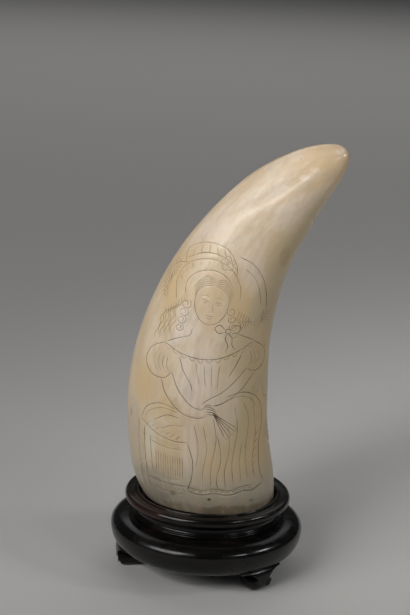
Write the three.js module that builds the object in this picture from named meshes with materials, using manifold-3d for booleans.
// An engraved whale tooth standing in a turned hardwood stand with three carved feet.
// Millimetres, +Z up. The tooth curves towards +X and its engraved side faces -Y.
// The origin is on the table, under the middle of the whole outline.
import * as THREE from "three";
import { mergeVertices } from "three/addons/utils/BufferGeometryUtils.js";
import Module from "manifold-3d";

const wasm = await Module();
wasm.setup();

// Tooth
const toothHeight = 156; // from the sawn root to the middle of the tip
const rootWidth = 61; // in the plane that the tooth curves in
const rootDepth = 46; // across that plane
const rootOffset = 0.9; // the root stands this far off the stand's axis
const toothTurn = 6; // degrees that the curve is turned to the engraved side
const cavityWidth = 34; // mouth of the open pulp cavity in the root
const cavityDepth = 36;
const wearDepth = 2; // what use has taken off one side of the tip
const wearTurn = 119; // degrees round the tip from the hollow side to the worn one

// Stand: radii of the turned profile
const standRadius = 42; // the bulge at its widest
const undersideRadius = 36.5;
const shelfRadius = 33.4; // where the bulge ends at its top
const beadRadius = 32.5; // outside of the small bead on the shelf
const neckRadius = 31;
const collarRadius = 36.1;

// Stand: heights, each counted from the form below it
const footHeight = 9;
const lowerBulge = 9;
const upperBulge = 5.5;
const beadHeight = 1.4;
const neckHeight = 4.4;
const collarHeight = 4;
const lipHeight = 0.6;

// Seat that the root stands in
const seatDepth = 4.7; // from the top of the lip
const seatGap = 0.5; // round the root
const seatFlare = 0.4; // how much wider the seat is at its mouth
const restGap = 0.3; // under the root
const lipWidth = 1.1;

// Feet
const footCount = 3;
const firstFootAt = -50; // degrees from +X
const soleWidth = 6;
const soleLength = 4.4; // radially
const soleOuter = 35.6; // radius at the outside of the sole
const footBelly = 4; // how far the toe swells out over its sole
const bracketWidth = 22; // where a foot meets the underside
const curlRadius = 1.9; // scroll on each side of the toe
const curlRelief = 0.8; // how far its eye stands out
const footSink = 1; // how far a foot is let into the body

// Fineness of the faceted surfaces
const toothSides = 48;
const turnedSides = 64;

const ivory = new THREE.MeshStandardMaterial({ color: 0xddd0b8, roughness: 0.38, metalness: 0 });
const blackwood = new THREE.MeshStandardMaterial({ color: 0x17110f, roughness: 0.25, metalness: 0 });

const collarTop = footHeight + lowerBulge + upperBulge + beadHeight + neckHeight + collarHeight;
const lipTop = collarTop + lipHeight;
const seatFloor = lipTop - seatDepth;
const rootLevel = seatFloor + restGap;
const seatRadius = rootOffset + (rootWidth / 2) * rootShare(0) + seatGap;

// A smooth curve through stations of [place, value], like a flexible ruler laid along them.
function along(stations, place) {
  const last = stations.length - 1;
  let i = 0;
  while (i < last - 1 && place > stations[i + 1][0]) i += 1;
  const slope = (k) => {
    const [a, b] = [stations[Math.max(k - 1, 0)], stations[Math.min(k + 1, last)]];
    return (b[1] - a[1]) / (b[0] - a[0]);
  };
  const [start, end] = [stations[i], stations[i + 1]];
  const span = end[0] - start[0];
  const s = THREE.MathUtils.clamp((place - start[0]) / span, 0, 1);
  const rise = s * s * (3 - 2 * s);
  const bend = slope(i) * s * (1 - s) ** 2 - slope(i + 1) * s * s * (1 - s);
  return start[1] + (end[1] - start[1]) * rise + bend * span;
}

// Half-width of the tooth along its centreline, as a share of the root's.
function rootShare(place) {
  const girth = [
    [0, 0.93],
    [0.04, 1.017],
    [0.12, 1.006],
    [0.24, 0.984],
    [0.36, 0.889],
    [0.48, 0.777],
    [0.6, 0.66],
    [0.72, 0.554],
    [0.84, 0.405],
    [0.93, 0.29],
    [1, 0.25],
  ];
  return along(girth, place);
}

// A closed skin from one point over a row of rings to another point.
// Each ring runs the same way round, and the skin's outside is on its right.
function skin(first, rings, last) {
  const sides = rings[0].length;
  const positions = [first, ...rings.flat(), last].flatMap((p) => [p.x, p.y, p.z]);
  const at = (ring, side) => 1 + ring * sides + (side % sides);
  const end = 1 + rings.length * sides;
  const faces = [];
  for (let side = 0; side < sides; side += 1) {
    faces.push(0, at(0, side + 1), at(0, side));
    for (let ring = 0; ring < rings.length - 1; ring += 1) {
      const [a, b] = [at(ring, side), at(ring, side + 1)];
      const [c, d] = [at(ring + 1, side + 1), at(ring + 1, side)];
      faces.push(a, b, c, a, c, d);
    }
    faces.push(at(rings.length - 1, side), at(rings.length - 1, side + 1), end);
  }
  const geometry = new THREE.BufferGeometry();
  geometry.setAttribute("position", new THREE.Float32BufferAttribute(positions, 3));
  geometry.setIndex(faces);
  geometry.computeVertexNormals();
  return geometry;
}

// The tooth is a row of oval sections on a curved centreline. Near the root they lie level, where
// the tooth was sawn, and further up they turn square to the curve.
function makeTooth() {
  const share = (reach, rise) =>
    new THREE.Vector3(reach * toothHeight, 0, rootLevel + rise * toothHeight);
  const centreline = new THREE.CubicBezierCurve3(
    share(0, 0),
    share(-0.162, 0.541),
    share(0.138, 0.905),
    share(0.327, 1),
  );
  const squareFrom = 0.35; // place on the centreline where sections have become square to it
  const capFrom = 0.86; // where the tip starts to close
  const capBlunt = 2.4; // above 2 the tip is blunter than an ellipse
  const tipDepth = 0.86; // the tip's depth over its width

  const lean = (t) => {
    const way = centreline.getTangent(t);
    return Math.atan2(way.x, way.z) * THREE.MathUtils.smoothstep(t, 0, squareFrom);
  };
  const cap = (t) => {
    const closed = Math.max(t - capFrom, 0) / (1 - capFrom);
    return Math.sqrt(Math.max(1 - closed ** capBlunt, 0));
  };
  const section = (t, scale) => {
    const centre = centreline.getPoint(t);
    const width = scale * rootShare(t) * (rootWidth / 2) * cap(t);
    const depth = width * THREE.MathUtils.lerp(rootDepth / rootWidth, tipDepth, t);
    const across = new THREE.Vector3(Math.cos(lean(t)), 0, -Math.sin(lean(t)));
    return Array.from({ length: toothSides }, (_, side) => {
      const angle = (2 * Math.PI * side) / toothSides;
      const back = new THREE.Vector3(0, Math.sin(angle) * depth, 0);
      return centre.clone().addScaledVector(across, Math.cos(angle) * width).add(back);
    });
  };

  // A flat patch is worn along one side of the tip, tilted so that it runs out up the tooth.
  const wornPlace = 0.9;
  const wornTilt = THREE.MathUtils.degToRad(9);
  const tipWay = centreline.getTangent(wornPlace);
  const tipAcross = new THREE.Vector3(tipWay.z, 0, -tipWay.x);
  const wornTurn = THREE.MathUtils.degToRad(wearTurn);
  const wornSide = new THREE.Vector3(0, -Math.sin(wornTurn), 0)
    .addScaledVector(tipAcross, Math.cos(wornTurn))
    .multiplyScalar(Math.cos(wornTilt))
    .addScaledVector(tipWay, Math.sin(wornTilt));
  const tipHalf = rootShare(wornPlace) * (rootWidth / 2);
  const wornAt = centreline.getPoint(wornPlace).addScaledVector(wornSide, tipHalf - wearDepth);
  const wear = (point) => {
    const proud = wornSide.dot(point.clone().sub(wornAt));
    return proud > 0 ? point.clone().addScaledVector(wornSide, -proud) : point;
  };

  // The pulp cavity narrows from its mouth to a point, and the root's edge is slightly rounded.
  const mouth = cavityWidth / rootWidth / rootShare(0);
  const cavitySteps = 5;
  const floorPoint = new THREE.Vector3(0, 0, rootLevel);
  const cavityRing = (rise) => {
    const narrow = Math.sqrt(Math.max(1 - rise, 0));
    return section(0, mouth * narrow).map((p) =>
      p.add(new THREE.Vector3(0, 0, rise * cavityDepth)),
    );
  };
  const cavity = Array.from({ length: cavitySteps }, (_, k) =>
    cavityRing(1 - ((k + 1) / cavitySteps) ** 2),
  );
  const rootRound = 0.8;
  const sole = [0.7, 1 - rootRound / (rootWidth / 2)].map((scale) => section(0, scale));
  const edge = section(0, 1).map((p) => p.add(new THREE.Vector3(0, 0, rootRound)));

  const bodySteps = 28;
  const capSteps = 7;
  const bodyStart = 0.012;
  const body = Array.from({ length: bodySteps + 1 }, (_, k) =>
    section(THREE.MathUtils.lerp(bodyStart, capFrom, k / bodySteps), 1),
  );
  const tip = Array.from({ length: capSteps - 1 }, (_, k) => {
    const closed = Math.sin(((k + 1) / capSteps) * (Math.PI / 2));
    return section(THREE.MathUtils.lerp(capFrom, 1, closed), 1);
  });

  const apex = floorPoint.clone().add(new THREE.Vector3(0, 0, cavityDepth));
  const rings = [...cavity, ...sole, edge, ...body, ...tip].map((ring) => ring.map(wear));
  const tooth = new THREE.Mesh(skin(apex, rings, wear(centreline.getPoint(1))), ivory);
  tooth.name = "whale_tooth";
  tooth.position.x = rootOffset;
  tooth.rotation.z = THREE.MathUtils.degToRad(-toothTurn);
  return tooth;
}

// A three.js geometry as a solid that can be joined and cut.
function solidOf(geometry) {
  const bare = geometry.clone();
  bare.deleteAttribute("normal");
  bare.deleteAttribute("uv");
  const merged = mergeVertices(bare, 1e-3);
  return new wasm.Manifold(
    new wasm.Mesh({
      numProp: 3,
      vertProperties: merged.attributes.position.array,
      triVerts: new Uint32Array(merged.index.array),
    }),
  );
}

function geometryOf(solid) {
  const { vertProperties, triVerts } = solid.getMesh();
  const geometry = new THREE.BufferGeometry();
  geometry.setAttribute("position", new THREE.BufferAttribute(vertProperties, 3));
  geometry.setIndex(new THREE.BufferAttribute(triVerts, 1));
  geometry.computeVertexNormals();
  return geometry;
}

// Points of a quarter ellipse between two corners; it leaves the first one level or upright.
function quarter(from, to, leaves, steps) {
  return Array.from({ length: steps + 1 }, (_, k) => {
    const turn = (k / steps) * (Math.PI / 2);
    const [slow, quick] = [1 - Math.cos(turn), Math.sin(turn)];
    const [alongX, alongY] = leaves === "level" ? [quick, slow] : [slow, quick];
    return new THREE.Vector2(
      THREE.MathUtils.lerp(from.x, to.x, alongX),
      THREE.MathUtils.lerp(from.y, to.y, alongY),
    );
  });
}

function turned(profile) {
  const up = new THREE.LatheGeometry(profile, turnedSides).rotateX(Math.PI / 2);
  return solidOf(up);
}

// The body is turned in one piece: bulge, bead, hollow neck, collar, lip and seat.
function turnedBody() {
  const point = (radius, height) => new THREE.Vector2(radius, height);
  const widest = footHeight + lowerBulge;
  const shelf = widest + upperBulge;
  const beadTop = shelf + beadHeight;
  const collarFoot = beadTop + neckHeight;
  const beadMiddle = shelf + beadHeight / 2;
  const collarMiddle = collarFoot + collarHeight * 0.55;
  const underRound = 0.6;
  const neckMiddle = beadTop + neckHeight * 0.45;
  const collarUnder = collarRadius - 1.6;
  const collarCrown = collarRadius - 2.4;
  const seatMouth = seatRadius + seatFlare;
  const lipOuter = seatMouth + lipWidth;

  const bulge = [
    ...quarter(point(undersideRadius, footHeight), point(standRadius, widest), "level", 7),
    ...quarter(point(standRadius, widest), point(shelfRadius, shelf), "upright", 6).slice(1),
  ];
  const bead = [
    point(beadRadius - 0.4, shelf),
    point(beadRadius, beadMiddle),
    point(beadRadius - 0.5, beadTop),
  ];
  const neck = [
    ...quarter(point(beadRadius - 0.9, beadTop), point(neckRadius, neckMiddle), "level", 2).slice(1),
    ...quarter(point(neckRadius, neckMiddle), point(collarUnder, collarFoot), "upright", 3).slice(1),
  ];
  const collar = [
    ...quarter(point(collarUnder, collarFoot), point(collarRadius, collarMiddle), "level", 3).slice(1),
    ...quarter(point(collarRadius, collarMiddle), point(collarCrown, collarTop), "upright", 3).slice(1),
  ];
  const lip = [
    point(lipOuter, collarTop),
    point(lipOuter - lipWidth * 0.25, lipTop),
    point(seatMouth + lipWidth * 0.25, lipTop),
    point(seatMouth, collarTop),
  ];
  return turned([
    point(0, footHeight),
    point(undersideRadius - underRound, footHeight),
    ...bulge.slice(1),
    ...bead,
    ...neck,
    ...collar,
    ...lip,
    point(seatRadius, seatFloor),
    point(0, seatFloor),
  ]);
}

// One foot is a bracket with a scroll on each side of its toe. The bracket gives the outline seen
// from outside, and a turned ring gives the swelling toe seen from the side.
function foot(azimuth) {
  const top = footHeight + footSink;
  const half = { sole: soleWidth / 2, bracket: bracketWidth / 2 };
  const curlOut = half.sole + curlRadius;
  const notch = footHeight * 0.62;
  const bracket = new THREE.Shape();
  bracket.moveTo(-half.bracket, top);
  bracket.lineTo(-half.bracket, footHeight);
  bracket.quadraticCurveTo(-curlOut, footHeight, -half.sole, notch);
  bracket.bezierCurveTo(-curlOut - 0.8, notch, -curlOut - 0.6, 0.6, -half.sole, 0);
  bracket.lineTo(half.sole, 0);
  bracket.bezierCurveTo(curlOut + 0.6, 0.6, curlOut + 0.8, notch, half.sole, notch);
  bracket.quadraticCurveTo(curlOut, footHeight, half.bracket, footHeight);
  bracket.lineTo(half.bracket, top);
  const reach = soleOuter + footBelly + curlRelief + 1;
  const standing = new THREE.ExtrudeGeometry(bracket, {
    depth: reach,
    bevelEnabled: false,
    curveSegments: 7,
  });
  // Extruded along its local Z, then stood up with that axis pointing outwards.
  standing.applyMatrix4(
    new THREE.Matrix4().makeBasis(
      new THREE.Vector3(0, 1, 0),
      new THREE.Vector3(0, 0, 1),
      new THREE.Vector3(1, 0, 0),
    ),
  );

  const soleInner = soleOuter - soleLength;
  const toe = new THREE.Vector2(soleOuter + footBelly, footHeight * 0.7);
  const shoulder = new THREE.Vector2(soleOuter + footBelly * 0.4, top);
  const ring = turned([
    new THREE.Vector2(soleInner, 0),
    ...quarter(new THREE.Vector2(soleOuter, 0), toe, "level", 3),
    ...quarter(toe, shoulder, "upright", 3).slice(1),
    new THREE.Vector2(soleInner - 3, top),
    new THREE.Vector2(soleInner, 0),
  ]);

  const curl = (side) => {
    const lift = curlRadius + 1;
    const eye = new THREE.CylinderGeometry(curlRadius * 0.62, curlRadius * 0.72, soleLength, 12)
      .rotateZ(-Math.PI / 2)
      .translate(
        soleOuter + curlRelief + footBelly * 0.6 - soleLength / 2,
        side * (half.sole + 0.2),
        lift,
      );
    return solidOf(eye);
  };
  return solidOf(standing)
    .intersect(ring)
    .add(curl(-1))
    .add(curl(1))
    .rotate([0, 0, azimuth]);
}

function makeStand() {
  let wood = turnedBody();
  for (let k = 0; k < footCount; k += 1) {
    wood = wood.add(foot(firstFootAt + (360 / footCount) * k));
  }
  const stand = new THREE.Mesh(geometryOf(wood), blackwood);
  stand.name = "wooden_stand";
  return stand;
}

const piece = new THREE.Group();
piece.add(makeTooth(), makeStand());
piece.updateMatrixWorld(true);
const outline = new THREE.Box3().setFromObject(piece, true).getCenter(new THREE.Vector3());
piece.position.set(-outline.x, -outline.y, 0);

export default piece;
